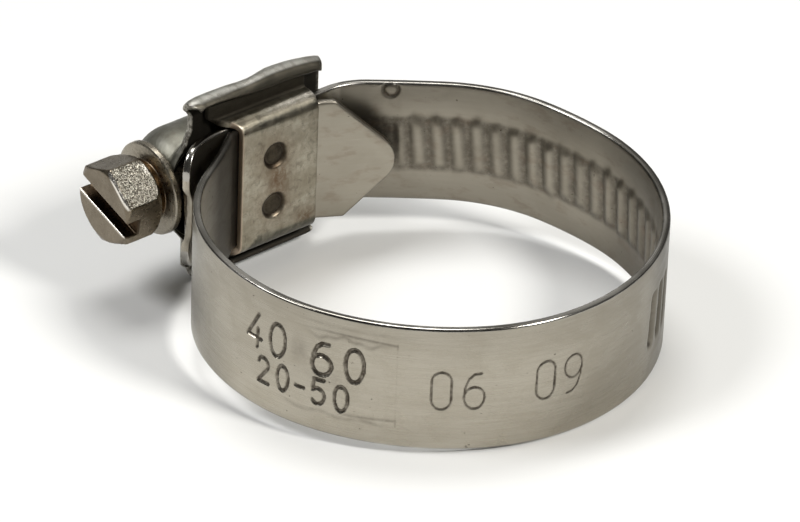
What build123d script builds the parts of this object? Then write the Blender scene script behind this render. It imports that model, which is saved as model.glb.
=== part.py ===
from build123d import *
import os
from math import sin, cos, tan, radians, degrees, pi, sqrt, atan2

# Worm-drive hose clamp, 12 mm stainless band, nearly fully open.
# Frame: +Z is the hose axis, the origin is on the axis of the seat arc at the
# middle of the band's width.  The housing sits over +Y, the screw lies along X
# with its hex head at the -X end.

# ---------------------------------------------------------------- dimensions
BAND_T = 0.70          # band strip thickness
BAND_W = 12.0          # band width
SEAT_R = 17.929        # inner radius of the long seat arc
SADDLE_T = 0.68          # saddle sheet thickness
COVER_T = 0.60         # housing cover sheet thickness
LAYER_GAP = 0.10       # clearance between the fixed end and the running strip
SEAM_GAP = 0.03        # gap between the layers of a folded seam

PLATE_Y = 19.113       # inner (hose side) face of the saddle plate
PLATE_X0, PLATE_X1 = -7.30, 1.00     # saddle plate, ends along the screw
FLANGE_X0 = -9.45      # the saddle's side flanges start further left
COVER_X0, COVER_X1 = -11.35, 2.75    # cover, ends along the screw
SADDLE_WALL_Z = 6.19   # inside face of the saddle's side walls
SEAM_Z = 8.45          # centre height of the seam's round fold
BEND_R = 0.60          # mid-surface bend radius of the saddle

SCREW_Y = 24.50        # height of the screw axis over the seat axis
BARREL_RO = 4.60       # outer radius of the cover's barrel
ROOT_FILLET = 0.90     # mid-surface fillet between barrel and brim
WORM_ROOT_R = 3.00     # root of the worm; the ridge stands on it
NECK_R = 1.95
HEX_AF = 6.80
HEX_X0, HEX_X1 = -18.20, -14.15
GROOVE_R = 2.75
COLLAR_R = 4.25
COLLAR_X0, COLLAR_X1 = -13.50, -12.75
NOSE_X = -12.62        # front of the barrel's domed nose
BARREL_X0 = -9.90      # the barrel has its full radius from here on
WORM_X0, WORM_X1 = -9.60, 1.30
TIP_X1 = 2.40
SLOT_W, SLOT_D = 1.60, 1.25
SLOT_ANGLE = 15.0      # driver slot, turned from the Y axis towards Z
HEX_FLAT_ANGLE = 9.0   # direction of one hexagon flat, from Y towards Z
CLINCH_D, CLINCH_H, CLINCH_X, CLINCH_Z = 2.55, 0.32, -3.81, 2.56

FIX_OUT_Y = PLATE_Y + 0.70 + BAND_T                # outer face of the fixed end
RUN_OUT_Y = FIX_OUT_Y + LAYER_GAP + BAND_T         # outer face of the running strip

# The band's outer face round the ring, from the saddle's left end the long
# way to its right end: (radius, turn in degrees), radius 0 is a straight run.
# A negative turn bends the other way.
RING = [
    (2.000, 39.68), (37.789, -8.92), (14.976, 42.55), (19.393, 42.54),
    (23.744, 33.95), (SEAT_R + BAND_T, 126.09), (36.304, 9.07),
    (16.359, 34.65), (108.073, 3.63), (6.238, 36.76),
]
RING_X0 = -7.153       # where the ring leaves the flat under the saddle
# Outline of the tongue's point: (distance from the root, z).  The tongue sits
# a little low, as the strip is clinched slightly askew.
TONGUE_DROP = 0.32
TONGUE_TOP = [(1.88, 5.68), (6.04, 1.74)]
TONGUE_TIP = (7.24, -0.60)
TONGUE_LOW = [(6.24, -2.85), (2.84, -6.32)]
TAIL_BEND_R, TAIL_BEND_DEG, TAIL_RUN = 8.0, 36.0, 0.50
TAIL_BEND_X = -8.15
TAIL_CORNER = 2.2


# ---------------------------------------------------------------- ribbon tool
def walk(x, y, h, segs):
    """Follow straight runs (0, length) and arcs (radius, turn in degrees)."""
    out = []
    for r, a in segs:
        if r == 0:
            x2, y2, h2 = x + a * cos(h), y + a * sin(h), h
            out.append(("L", x, y, h, x2, y2, h2, 0.0, 0.0))
        else:
            s = 1.0 if a > 0 else -1.0
            cx, cy = x - s * r * sin(h), y + s * r * cos(h)
            h2 = h + radians(a)
            x2, y2 = cx + s * r * sin(h2), cy - s * r * cos(h2)
            out.append(("A", x, y, h, x2, y2, h2, cx, cy))
        x, y, h = x2, y2, h2
    return out


def side(path, d):
    """Edges of the path moved d to the left of its direction."""
    es = []
    for k, x, y, h, x2, y2, h2, cx, cy in path:
        a = (x - d * sin(h), y + d * cos(h))
        b = (x2 - d * sin(h2), y2 + d * cos(h2))
        if k == "L":
            es.append(Line(a, b))
        else:
            hm = (h + h2) / 2
            s = 1.0 if h2 > h else -1.0
            r = sqrt((x - cx) ** 2 + (y - cy) ** 2)
            mx, my = cx + s * r * sin(hm), cy - s * r * cos(hm)
            es.append(ThreePointArc(a, (mx - d * sin(hm), my + d * cos(hm)), b))
    return es


def ribbon(path, d0, d1):
    a, b = side(path, d0), side(path, d1)
    s = Line(a[0] @ 0, b[0] @ 0)
    e = Line(a[-1] @ 1, b[-1] @ 1)
    return make_face(Wire(a + [e] + b + [s]))


# ---------------------------------------------------------------- band
# One strip: the pointed tongue, the fixed end under the saddle, the ring, the
# running strip through the housing and the free tail.
def build_band():
    fix_mid_x = PLATE_X1 + 0.05
    # fixed end and ring, walked from the tongue's root to the running strip
    segs = [(0, fix_mid_x - RING_X0)] + RING
    p = walk(fix_mid_x, FIX_OUT_Y, pi, segs)
    ex, ey = p[-1][4], p[-1][5]
    run_len = ex - TAIL_BEND_X
    p += walk(ex, ey, p[-1][6], [(0, run_len), (TAIL_BEND_R + BAND_T, TAIL_BEND_DEG), (0, TAIL_RUN)])
    body = extrude(ribbon(p, 0.0, BAND_T), BAND_W / 2, both=True)
    # tongue, walked the other way from the same root
    q = walk(fix_mid_x, FIX_OUT_Y - BAND_T, 0.0, [(1.2, -29.0), (0, TONGUE_TIP[0] - 0.6)])
    tongue = Pos(0, 0, -TONGUE_DROP) * extrude(ribbon(q, 0.0, BAND_T), BAND_W / 2, both=True)
    tx, ty, th = q[-1][4], q[-1][5], q[-1][6]
    # outline of the point, on a plane facing the tongue's run
    L = TONGUE_TIP[0]
    frame = Plane(origin=(tx - L * cos(th), ty - L * sin(th), 0),
                  x_dir=(cos(th), sin(th), 0), z_dir=(sin(th), -cos(th), 0))
    H = BAND_W / 2 + 1.5
    (a0, a1), (b1, b0) = TONGUE_TOP, TONGUE_LOW
    tip = make_face(Wire([
        Line(a0, a1), ThreePointArc(a1, TONGUE_TIP, b1),
        Line(b1, b0), Line(b0, (b0[0], -H)),
        Line((b0[0], -H), (L + 2, -H)), Line((L + 2, -H), (L + 2, H)),
        Line((L + 2, H), (a0[0], H)), Line((a0[0], H), a0)]))
    tongue -= extrude(frame * tip, 4, both=True)
    # rounded corners of the free tail
    ax, ay, ah = p[-1][4], p[-1][5], p[-1][6]
    tf = Plane(origin=(ax, ay, 0), x_dir=(cos(ah), sin(ah), 0), z_dir=(sin(ah), -cos(ah), 0))
    R, W = TAIL_CORNER, BAND_W / 2
    for s in (1, -1):
        k = R * (1 - cos(radians(45)))
        cut = make_face(Wire([
            ThreePointArc((-R, s * W), (-k, s * (W - k)), (0, s * (W - R))),
            Line((0, s * (W - R)), (1, s * (W - R))), Line((1, s * (W - R)), (1, s * (W + 1))),
            Line((1, s * (W + 1)), (-R, s * (W + 1))), Line((-R, s * (W + 1)), (-R, s * W))]))
        body -= extrude(tf * cut, 2, both=True)
    band = body + tongue
    # the two clinch buttons pressed from the saddle sink into the fixed end
    for s in (1, -1):
        band -= Pos(CLINCH_X, PLATE_Y + SADDLE_T, s * CLINCH_Z) * Rot(90, 0, 0) * Cylinder(CLINCH_D / 2 + 0.02, 2 * 0.22)
    return band


# ---------------------------------------------------------------- saddle
def build_saddle():
    t = SADDLE_T
    wall = SADDLE_WALL_Z + t / 2
    plate = PLATE_Y + t / 2
    flange = FIX_OUT_Y + LAYER_GAP + BAND_T - 0.073 + t / 2     # mid of the upright flange
    top = SEAM_Z - 0.05
    r = BEND_R
    segs = [(0, top - (wall + r)), (r, -90.0), (0, flange - plate - 2 * r), (r, 90.0),
            (0, 2 * (wall - r)), (r, 90.0), (0, flange - plate - 2 * r), (r, -90.0),
            (0, top - (wall + r))]
    prof = ribbon(walk(flange, top, -pi / 2, segs), -t / 2, t / 2)
    # the profile lies in Y-Z and runs along X
    yz = Plane(origin=(0, 0, 0), x_dir=(0, 1, 0), z_dir=(1, 0, 0))
    s = extrude(Plane(origin=(FLANGE_X0, 0, 0), x_dir=(0, 1, 0), z_dir=(1, 0, 0)) * prof, PLATE_X1 - FLANGE_X0)
    # the plate is shorter than its flanges: a slanted cut leaves the corner
    y0, y1, y2 = PLATE_Y - 1, FIX_OUT_Y - 0.9, flange - 0.2
    cut = make_face(Polyline((FLANGE_X0 - 1, y0), (PLATE_X0, y0), (PLATE_X0, y1),
                             (FLANGE_X0 + 0.75, y2), (FLANGE_X0 - 1, y2), close=True))
    s -= extrude(cut, 9.5, both=True)
    for sg in (1, -1):
        # round clinch points: a recess on the hose side, a low button behind
        s += Pos(CLINCH_X, PLATE_Y + t, sg * CLINCH_Z) * Rot(90, 0, 0) * Cylinder(CLINCH_D / 2 - 0.02, 2 * 0.20)
        s -= Pos(CLINCH_X, PLATE_Y, sg * CLINCH_Z) * Rot(90, 0, 0) * Cylinder(CLINCH_D / 2 - 0.15, 2 * CLINCH_H)
    return s


# ---------------------------------------------------------------- cover
def build_cover():
    t = COVER_T
    fl0 = FIX_OUT_Y + LAYER_GAP + BAND_T - 0.073                 # saddle flange, hose side face
    inner = fl0 - SEAM_GAP - t / 2
    outer = fl0 + SADDLE_T + SEAM_GAP + t / 2
    rf = (outer - inner) / 2
    rb = BARREL_RO - t / 2
    dy = outer + ROOT_FILLET - SCREW_Y
    dz = sqrt((rb + ROOT_FILLET) ** 2 - dy ** 2)
    ang = degrees(atan2(dz, dy))                                 # where the barrel starts
    leg = 0.22
    segs = [(0, leg), (rf, -180.0), (0, SEAM_Z - dz), (ROOT_FILLET, ang), (rb, -2 * ang),
            (ROOT_FILLET, ang), (0, SEAM_Z - dz), (rf, -180.0), (0, leg)]
    prof = ribbon(walk(inner, SEAM_Z - leg, pi / 2, segs), -t / 2, t / 2)
    c = extrude(Plane(origin=(COVER_X0, 0, 0), x_dir=(0, 1, 0), z_dir=(1, 0, 0)) * prof, COVER_X1 - COVER_X0)
    # left of the full barrel only the brims remain, then a domed nose is added
    c -= Pos((COVER_X0 + BARREL_X0) / 2 - 1, outer + 5, 0) * Box(BARREL_X0 - COVER_X0 + 2, 10 - t, 10.0)
    web_x0, web_x1 = NOSE_X, BARREL_X0 + 0.3
    web = Pos((web_x0 + web_x1) / 2, outer, 0) * Box(web_x1 - web_x0, t, 2 * 4.6)
    web -= Pos((BARREL_X0 + 0.3), outer, 0) * Box(0.9, 2 * t, 2 * 3.2)
    side_web = Pos((COVER_X0 + web_x1) / 2, outer, 0) * Box(web_x1 - COVER_X0, t, 2 * 6.0)
    side_web -= Pos((BARREL_X0 + 0.3), outer, 0) * Box(0.9, 2 * t, 2 * 3.2)
    # dome: quarter-ellipse shell turned about the screw axis
    a, b0 = BARREL_X0 - NOSE_X, 2.25
    ro, ri = BARREL_RO, BARREL_RO - t
    pts_o = [(BARREL_X0 - a * sin(k * pi / 20), b0 + (ro - b0) * cos(k * pi / 20)) for k in range(0, 10)] + [(NOSE_X, b0 + 0.10)]
    ai = a - t
    pts_i = [(BARREL_X0 - ai * sin(k * pi / 20), b0 + (ri - b0) * cos(k * pi / 20)) for k in range(0, 10)] + [(NOSE_X + t, b0 + 0.02)]
    outl = Spline(*[(x, r) for x, r in pts_o])
    inl = Spline(*[(x, r) for x, r in pts_i])
    pr = make_face(Wire([outl, Line(outl @ 1, (NOSE_X, NECK_R + 0.1)), Line((NOSE_X, NECK_R + 0.1), (NOSE_X + t, NECK_R + 0.1)),
                         Line((NOSE_X + t, NECK_R + 0.1), inl @ 1), inl, Line(inl @ 0, outl @ 0)]))
    dome = Pos(0, SCREW_Y, 0) * revolve(pr, Axis.X, 360)
    dome &= Pos((NOSE_X + BARREL_X0) / 2, outer + 5, 0) * Box(a + 0.001, 10, 12)
    bore = Pos(NOSE_X, SCREW_Y, 0) * Rot(0, 90, 0) * Cylinder(NECK_R + 0.06, 6)
    c = c + web + side_web + dome
    c -= bore
    return c


# ---------------------------------------------------------------- screw
def build_screw():
    af, rc = HEX_AF, HEX_AF / sqrt(3)
    lx = HEX_X1 - HEX_X0
    along = Rot(0, 90, 0)
    # hexagon with a chamfered front and a domed back edge
    pts = [(rc * cos(radians(HEX_FLAT_ANGLE + 30 + 60 * k)), rc * sin(radians(HEX_FLAT_ANGLE + 30 + 60 * k))) for k in range(6)]
    face = make_face(Polyline(*pts, close=True))
    face = fillet(face.vertices(), 0.25)
    head = extrude(Plane(origin=(HEX_X0, 0, 0), x_dir=(0, 1, 0), z_dir=(1, 0, 0)) * face, lx)
    env = make_face(Polyline((HEX_X0, 0), (HEX_X0, af / 2 - 0.05), (HEX_X0 + 0.32, rc + 0.02),
                             (HEX_X1 - 0.95, rc + 0.02), (HEX_X1, af / 2 - 0.15), (HEX_X1, 0), close=True))
    head &= revolve(env, Axis.X, 360)
    # driver slot
    head -= Rot(SLOT_ANGLE, 0, 0) * Pos(HEX_X0 + SLOT_D / 2 - 0.5, 0, 0) * Box(SLOT_D + 1, 12, SLOT_W)
    x = HEX_X1 - 0.01
    shaft = make_face(Polyline(
        (x, 0), (x, GROOVE_R), (COLLAR_X0, GROOVE_R), (COLLAR_X0, COLLAR_R - 0.15), (COLLAR_X0 + 0.15, COLLAR_R),
        (COLLAR_X1 - 0.1, COLLAR_R), (COLLAR_X1, COLLAR_R - 0.1), (COLLAR_X1, NECK_R), (WORM_X0, NECK_R),
        (WORM_X0 + 0.8, WORM_ROOT_R), (WORM_X1 - 0.6, WORM_ROOT_R), (WORM_X1, WORM_ROOT_R - 0.7),
        (TIP_X1 - 0.3, WORM_ROOT_R - 0.9), (TIP_X1, WORM_ROOT_R - 1.3), (TIP_X1, 0), close=True))
    s = head + revolve(shaft, Axis.X, 360)
    return Pos(0, SCREW_Y, 0) * s


os.makedirs("parts", exist_ok=True)
for name, fn in (("band", build_band), ("saddle", build_saddle), ("housing_cover", build_cover), ("worm_screw", build_screw)):
    shape = fn()
    shape.label = name
    export_step(shape, "parts/%s.step" % name)
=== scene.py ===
import bpy, bmesh
import numpy as np
from math import sin, cos, radians, degrees, pi, sqrt, atan2
from mathutils import Vector, Matrix


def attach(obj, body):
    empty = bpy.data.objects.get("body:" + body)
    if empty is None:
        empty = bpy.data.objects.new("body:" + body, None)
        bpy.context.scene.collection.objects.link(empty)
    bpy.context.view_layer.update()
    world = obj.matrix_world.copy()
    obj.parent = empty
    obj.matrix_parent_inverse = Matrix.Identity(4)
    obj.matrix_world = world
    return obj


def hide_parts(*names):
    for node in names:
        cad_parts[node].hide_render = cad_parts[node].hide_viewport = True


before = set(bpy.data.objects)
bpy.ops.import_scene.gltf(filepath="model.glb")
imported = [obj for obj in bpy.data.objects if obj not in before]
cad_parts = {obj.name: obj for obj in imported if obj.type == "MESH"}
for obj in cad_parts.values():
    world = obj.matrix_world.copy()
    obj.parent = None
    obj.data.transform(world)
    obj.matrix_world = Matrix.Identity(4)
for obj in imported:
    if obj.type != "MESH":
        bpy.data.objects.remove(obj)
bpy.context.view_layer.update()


MM = 0.001
sc = bpy.context.scene
rng = np.random.default_rng(7)

# ------------------------------------------------------------------ sizes, mm
T = 0.70                       # strip thickness
SEAT_R = 17.929
RING = [(2.000, 39.68), (37.789, -8.92), (14.976, 42.55), (19.393, 42.54), (23.744, 33.95),
        (SEAT_R + T, 126.09), (36.304, 9.07), (16.359, 34.65), (108.073, 3.63), (6.238, 36.76)]
PITCH = 1.775                  # thread pitch on the strip's middle surface
LEAD = 0.095                   # slant of the thread's ribs
SCREW_Y = 24.50


# ------------------------------------------------------------------ helpers
def sstep(a, b, x):
    t = np.clip((np.asarray(x, float) - a) / (b - a), 0, 1)
    return t * t * (3 - 2 * t)


def make_object(name, verts, faces, sharp=38, **attrs):
    me = bpy.data.meshes.new(name)
    me.from_pydata((np.asarray(verts) * MM).tolist(), [], [tuple(int(i) for i in f) for f in faces])
    me.update()
    me.shade_smooth()
    me.set_sharp_from_angle(angle=radians(sharp))
    for k, v in attrs.items():
        v = np.asarray(v, np.float32)
        kind = "FLOAT_VECTOR" if v.ndim == 2 else "FLOAT"
        a = me.attributes.new(k, kind, "POINT")
        a.data.foreach_set("vector" if v.ndim == 2 else "value", v.ravel())
    ob = bpy.data.objects.new(name, me)
    sc.collection.objects.link(ob)
    return ob


def fix_normals(ob):
    bm = bmesh.new(); bm.from_mesh(ob.data)
    bmesh.ops.recalc_face_normals(bm, faces=bm.faces)
    bm.to_mesh(ob.data); bm.free()
    return ob


def slab(P, N, A, B):
    """A closed sheet: grid of middle points P, normals N, half thicknesses A (along N) and B."""
    n, m = P.shape[:2]
    V = np.concatenate([(P + N * A[..., None]).reshape(-1, 3), (P - N * B[..., None]).reshape(-1, 3)])
    g = np.arange(n * m).reshape(n, m)
    top = np.stack([g[:-1, :-1], g[1:, :-1], g[1:, 1:], g[:-1, 1:]], -1).reshape(-1, 4)
    F = [top, top[:, ::-1] + n * m]
    for e in (g[0], g[:, -1], g[-1][::-1], g[:, 0][::-1]):
        F.append(np.stack([e[:-1], e[1:], e[1:] + n * m, e[:-1] + n * m], -1))
    return V, np.concatenate(F)


def edge_round(d, t, r):
    """Half thickness at distance d from a sheet's edge rounded with radius r."""
    q = np.clip(r - d, 0, r)
    return t / 2 - r + np.sqrt(np.maximum(r * r - q * q, 0))


def walk(x, y, h, segs):
    out = []
    for r, a in segs:
        if r == 0:
            x2, y2, h2, k, L = x + a * cos(h), y + a * sin(h), h, 0.0, a
        else:
            s = 1.0 if a > 0 else -1.0
            cx, cy = x - s * r * sin(h), y + s * r * cos(h)
            h2 = h + radians(a)
            x2, y2, k, L = cx + s * r * sin(h2), cy - s * r * cos(h2), s / r, r * abs(radians(a))
        out.append((x, y, h, k, L))
        x, y, h = x2, y2, h2
    return out, (x, y, h)


class Path:
    def __init__(self, x, y, h, segs):
        self.p, self.end = walk(x, y, h, segs)
        self.a = np.array(self.p)
        self.s = np.concatenate([[0], np.cumsum(self.a[:, 4])])
        self.length = float(self.s[-1])

    def at(self, s):
        s = np.asarray(s, float)
        i = np.clip(np.searchsorted(self.s, s, side="right") - 1, 0, len(self.a) - 1)
        x, y, h, k = (self.a[i][..., j] for j in range(4))
        ds = s - self.s[i]
        kk = np.where(k == 0, 1, k)
        h2 = h + k * ds
        X = np.where(k == 0, x + ds * np.cos(h), x + (np.sin(h2) - np.sin(h)) / kk)
        Y = np.where(k == 0, y + ds * np.sin(h), y - (np.cos(h2) - np.cos(h)) / kk)
        return X, Y, h2


def spaced(*runs):
    """Values from (start, end, step) runs, joined."""
    out = []
    for a, b, st in runs:
        n = max(1, int(round((b - a) / st)))
        out += list(np.linspace(a, b, n + 1)[:-1])
    out.append(runs[-1][1])
    return np.array(out)


# ------------------------------------------------------------------ numerals
def arc(cx, cy, rx, ry, a0, a1, n=14):
    t = np.radians(np.linspace(a0, a1, n))
    return [(cx + rx * cos(v), cy + ry * sin(v)) for v in t]


# plain strokes in a box one wide and one high
GLYPH = {
    "0": [arc(.5, .5, .5, .5, 0, 360, 40)],
    "0n": [arc(.5, .74, .5, .26, 0, 180, 16) + arc(.5, .26, .5, .26, 180, 360, 16) + [(1, .74)]],
    "2": [arc(.5, .72, .47, .28, 165, -25, 16) + [(.02, .0), (1.0, .0)]],
    "4": [[(.74, 1.0), (.0, .27), (1.0, .27)], [(.72, .56), (.72, .0)]],
    "5": [[(.92, 1.0), (.16, 1.0), (.08, .54)] + arc(.46, .32, .50, .32, 125, -140, 18)],
    "6": [arc(.5, .30, .5, .30, 0, 360, 30), [(.0, .32), (.05, .58), (.22, .82), (.50, .96), (.82, .97)]],
    "9": [arc(.5, .70, .5, .30, 0, 360, 30), [(1.0, .68), (.95, .42), (.78, .18), (.50, .04), (.18, .03)]],
    "-": [[(0, .5), (1, .5)]],
}
# (numeral, centre s, centre z, width, height, half stroke, depth, turn)
STAMPS = [
    ("4", 42.20, 1.68, 1.55, 3.25, .200, .17, -2), ("0", 44.70, 1.65, 1.55, 3.25, .200, .17, -2),
    ("6", 49.00, 1.40, 1.75, 3.25, .210, .18, -1), ("0", 51.90, 1.40, 1.60, 3.25, .210, .17, 0),
    ("2", 43.25, -1.95, 1.15, 2.45, .190, .15, 0), ("0", 45.30, -1.90, 1.10, 2.45, .190, .15, 0),
    ("-", 47.00, -2.05, 0.80, 0.40, .180, .13, -4), ("5", 48.75, -2.00, 1.20, 2.45, .190, .15, 0),
    ("0", 50.80, -2.15, 1.20, 2.45, .190, .15, 0),
    ("0n", 59.25, -0.05, 1.66, 3.70, .115, .085, 0), ("6", 62.00, -0.05, 1.72, 3.60, .115, .085, 0),
    ("0n", 68.20, 0.05, 1.68, 3.75, .115, .085, -1), ("9", 70.85, -0.10, 1.72, 3.80, .105, .075, -1),
]


def seg_dist(px, py, pts):
    best = np.full(px.shape, 1e9)
    for (x0, y0), (x1, y1) in zip(pts[:-1], pts[1:]):
        dx, dy = x1 - x0, y1 - y0
        t = np.clip(((px - x0) * dx + (py - y0) * dy) / (dx * dx + dy * dy + 1e-12), 0, 1)
        best = np.minimum(best, np.hypot(px - x0 - t * dx, py - y0 - t * dy))
    return best


def stamp_depth(s, z):
    depth = np.zeros(np.broadcast(s, z).shape)
    ink = np.zeros_like(depth)
    s, z = np.broadcast_arrays(s, z)
    for ch, cs, cz, w, h, hw, dp, turn in STAMPS:
        m = (np.abs(s - cs) < w / 2 + .7) & (np.abs(z - cz) < h / 2 + .7)
        if not m.any():
            continue
        a = radians(turn)
        ls, lz = s[m] - cs, z[m] - cz
        u, v = ls * cos(a) + lz * sin(a), -ls * sin(a) + lz * cos(a)
        d = np.full(u.shape, 1e9)
        for line in GLYPH[ch]:
            d = np.minimum(d, seg_dist(u, v, [((x - .5) * w, (y - .5) * h) for x, y in line]))
        q = np.clip(1 - (d / hw) ** 2, 0, 1)
        burr = -0.014 * np.exp(-((d - hw * 1.25) / .09) ** 2) * (dp / .17)
        depth[m] = np.maximum(depth[m], dp * q ** .75) + np.where(q > 0, 0, burr)
        ink[m] = np.maximum(ink[m], sstep(.08, .62, q))
    # the pressing tool's faint outline: a shallow flat with a sharp right end
    zt = 4.30 - .035 * (s - 50.5) ** 2 * .3
    zb = -3.45 - .05 * np.clip(55.5 - s, 0, 9) * .9
    left = sstep(46.0, 50.5, s)
    inside = sstep(55.62, 55.40, s) * sstep(zt + .10, zt - .10, z) * sstep(zb - .10, zb + .10, z)
    depth += .030 * inside * left
    lt = np.exp(-((z - zt) / .13) ** 2) * sstep(46.4, 50.6, s) * (s < 55.6)
    lb = np.exp(-((z - zb) / .11) ** 2) * sstep(49.4, 52.0, s) * (s < 55.6)
    tick = np.exp(-((s - 55.50) / .08) ** 2) * (sstep(3.5, 3.8, z) * (z < 4.25) + sstep(-4.3, -4.0, z) * (z < -3.3) + .22 * (np.abs(z) < 3.9))
    depth += .042 * lt + .036 * lb + .030 * tick
    ink = np.maximum(ink, .55 * np.maximum(lt, np.maximum(.8 * lb, .6 * tick)))
    # rubbed-in grime by the pressing tool: wavy streaks above and below, a smudge between the numerals
    w1 = z - (3.75 + .22 * np.sin(s * 1.5 + .6) + .10 * np.sin(s * 4.1))
    w2 = z - (4.95 + .10 * np.sin(s * 1.1))
    w3 = z - (-3.95 + .12 * np.sin(s * 1.7))
    streak = .42 * np.exp(-(w1 / .20) ** 2) * sstep(46.8, 49.5, s) * sstep(55.4, 53.4, s)
    streak = np.maximum(streak, .25 * np.exp(-(w2 / .12) ** 2) * sstep(45.5, 48.5, s) * sstep(59.5, 54, s))
    streak = np.maximum(streak, .34 * np.exp(-(w3 / .20) ** 2) * sstep(44.5, 46.5, s) * sstep(55.3, 53.0, s))
    smudge = .34 * np.exp(-((s - 46.9) / .95) ** 2 - ((z - 1.6) / 1.1) ** 2) + .22 * np.exp(-((s - 49.4) / 1.9) ** 2 - ((z + .35) / .7) ** 2)
    ink = np.maximum(ink, np.maximum(streak, smudge))
    return depth, ink


# ------------------------------------------------------------------ band
_, (tx, ty, th) = walk(1.05, 19.813, 0.0, [(1.2, -29.0), (0, 6.64)])
_, (ex, ey, eh) = walk(1.05, 20.513, pi, [(0, 8.203)] + RING)
BAND = Path(tx - T * sin(th), ty + T * cos(th), th + pi,
            [(0, 6.64), (1.9, 29.0), (0, 8.203)] + RING + [(0, ex + 8.15), (8.7, 36.0), (0, 0.50)])
S_END = BAND.length
H0 = BAND.at(0.0)[2]


def middle(s):
    return s - T / 2 * (BAND.at(s)[2] - H0)


M0 = float(middle(81.72))
M1 = float(middle(S_END - .15))


def thread(s, z):
    """How far the strip is pressed inwards on its outer and on its inner face."""
    m = middle(s)
    ph = np.where(s < 130.0, (m - M0 - LEAD * z) / PITCH, (m - M1 - LEAD * z) / PITCH)
    k = np.round(ph)
    u = np.abs(ph - k)
    on = np.where((s < 130) & (k < 0), 0.0, 1.0)
    zc = -0.12 + .10 * np.sin(k * 2.4) * (s < 130)
    zz = np.abs(z - zc)
    win_o = sstep(2.85, 2.15, zz)
    win_i = sstep(3.1, 1.7, zz + .12 * np.sin(3.1 * s + 1.3 * z))
    amp = 1 + .10 * np.sin(k * 5.1 + 1.0)
    off = 1 - sstep(129.2, 129.8, s) * sstep(130.8, 130.2, s)
    deep = .40 * np.cos(np.clip(u / .36, 0, 1) * pi / 2) ** 1.3
    bump = .27 * (.5 + .5 * np.cos(2 * pi * np.minimum(u, .5))) ** .62
    over = 1 - .95 * sstep(122.6, 123.8, s) * sstep(143.2, 141.2, s)
    return deep * win_o * on * off * amp, bump * win_i * on * off * over * amp


def circle3(a, b, c):
    (ax, ay), (bx, by), (cx, cy) = a, b, c
    d = 2 * (ax * (by - cy) + bx * (cy - ay) + cx * (ay - by))
    ux = ((ax * ax + ay * ay) * (by - cy) + (bx * bx + by * by) * (cy - ay) + (cx * cx + cy * cy) * (ay - by)) / d
    uy = ((ax * ax + ay * ay) * (cx - bx) + (bx * bx + by * by) * (ax - cx) + (cx * cx + cy * cy) * (bx - ax)) / d
    return ux, uy, sqrt((ax - ux) ** 2 + (ay - uy) ** 2)


TIP_C = circle3((6.04, 1.74), (7.24, -.60), (6.24, -2.85))
S_TIP = 7.24 - (TIP_C[0] + TIP_C[2])


def z_limits(s):
    """Lower and upper edge of the strip at s."""
    a = 7.24 - s
    ca, cz, R = TIP_C
    arcz = np.sqrt(np.maximum(R * R - (a - ca) ** 2, 0))
    hi = np.where(a < 1.88, 5.68, np.where(a < 6.04, 5.68 + (a - 1.88) * (1.74 - 5.68) / (6.04 - 1.88), cz + arcz))
    lo = np.where(a < 2.84, -6.32, np.where(a < 6.24, -6.32 + (a - 2.84) * (-2.85 + 6.32) / (6.24 - 2.84), cz - arcz))
    k = sstep(7.35, 9.6, s)
    hi, lo = hi * (1 - k) + 6 * k, lo * (1 - k) - 6 * k
    q = np.clip(s - (S_END - 2.2), 0, 2.2)
    drop = 2.2 - np.sqrt(np.maximum(2.2 ** 2 - q * q, 0))
    tail = s > 100
    return np.where(tail, -6 + drop, lo), np.where(tail, 6 - drop, hi)


RE = 0.235
EDGE = np.array([0, .018, .06, .13, .235])


def rows_of(zs):
    z = np.concatenate([-6 + EDGE, zs, (6 - EDGE)[::-1]])
    return (z + 6) / 12


PLAIN = rows_of(spaced((-5.55, 5.55, .55)))
THREAD = rows_of(np.concatenate([spaced((-5.5, -3.5, .5)), spaced((-3.1, 2.9, .2)), spaced((3.3, 5.5, .5))]))
FINE = rows_of(np.concatenate([spaced((-5.4, -4.6, .3)), spaced((-4.35, 4.72, .083)), spaced((4.95, 5.5, .25))]))
MARK = rows_of(np.concatenate([spaced((-5.4, -2.8, .5)), spaced((-2.6, 2.7, .22)), spaced((2.9, 5.62, .085))]))

# panels along the strip: columns, rows on the outer face, rows on the inner face
end_gap = np.array([0, .012, .04, .09])
PANELS = [
    (np.concatenate([S_TIP + np.array([.004, .03, .08, .16, .28, .45, .7]), spaced((1.0, 7.5, .26))]), PLAIN, PLAIN),
    (spaced((7.7, 9.5, .2), (9.5, 15.6, .7), (15.6, 17.4, .12), (17.4, 40.8, .42)), PLAIN, PLAIN),
    (spaced((41.0, 53.15, .082), (53.15, 55.25, .3), (55.25, 55.75, .05), (55.75, 58.1, .4), (58.1, 60.4, .08),
            (60.4, 60.9, .1), (60.9, 63.1, .08), (63.1, 67.1, .4), (67.1, 72.0, .08)), FINE, PLAIN),
    (spaced((72.2, 80.3, .45)), PLAIN, PLAIN),
    (spaced((80.5, 122.9, .165)), THREAD, THREAD),
    (spaced((123.05, 125.1, .085)), THREAD, MARK),
    (spaced((125.3, 129.0, .3), (129.0, 131.0, .25), (131.0, 145.0, .2), (145.0, S_END - .12, .11)), THREAD, THREAD),
]
PANELS[-1] = (np.concatenate([PANELS[-1][0], S_END - end_gap[::-1]]), THREAD, THREAD)


def zipper(a, za, b, zb):
    i = j = 0
    out = []
    while i < len(a) - 1 or j < len(b) - 1:
        if j == len(b) - 1 or (i < len(a) - 1 and za[i + 1] <= zb[j + 1]):
            out.append((a[i], b[j], a[i + 1])); i += 1
        else:
            out.append((a[i], b[j], b[j + 1])); j += 1
    return out


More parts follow.
